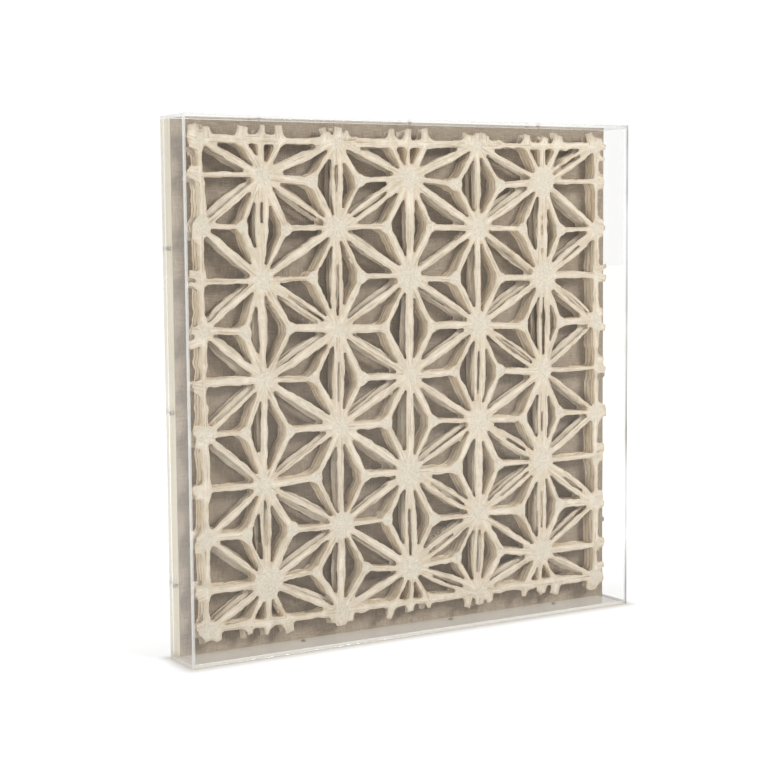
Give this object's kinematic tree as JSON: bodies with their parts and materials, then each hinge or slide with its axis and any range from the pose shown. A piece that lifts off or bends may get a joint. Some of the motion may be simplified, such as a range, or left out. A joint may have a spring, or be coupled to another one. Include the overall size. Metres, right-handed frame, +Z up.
{
  "type": "framed layered paper art",
  "caption": "Shadow box picture: a cut-paper star lattice in stacked layers over a linen ground, under a clear acrylic case screwed to a cream wood back frame.",
  "frame": {"origin": "under the middle of the case, on the surface it stands on", "axes": "+X to the right seen from the front, +Y to the back, +Z up; the clear front faces -Y"},
  "size_m": [0.61, 0.062, 0.61],
  "materials": {
    "clear_acrylic": "clear polished sheet",
    "cream_wood": "cream paint, satin",
    "fibre_board": "bare hardboard",
    "linen": "grey-taupe plain weave",
    "stacked_paper": "pasted paper edges, tan",
    "cream_paper": "cream handmade paper, matt",
    "screw_steel": "plain zinc"
  },
  "bodies": {
    "root": {"front_pane": "clear_acrylic", "top_pane": "clear_acrylic", "bottom_pane": "clear_acrylic", "left_pane": "clear_acrylic", "right_pane": "clear_acrylic", "frame_rail_top": "cream_wood", "frame_rail_bottom": "cream_wood", "frame_rail_left": "cream_wood", "frame_rail_right": "cream_wood", "backing_board": "fibre_board", "linen_sheet": "linen", "spacers_back": "stacked_paper", "lattice_back": "cream_paper", "spacers_middle": "stacked_paper", "lattice_middle": "cream_paper", "spacers_front": "stacked_paper", "lattice_front": "cream_paper", "case_screws": "screw_steel"}
  },
  "joints": []
}
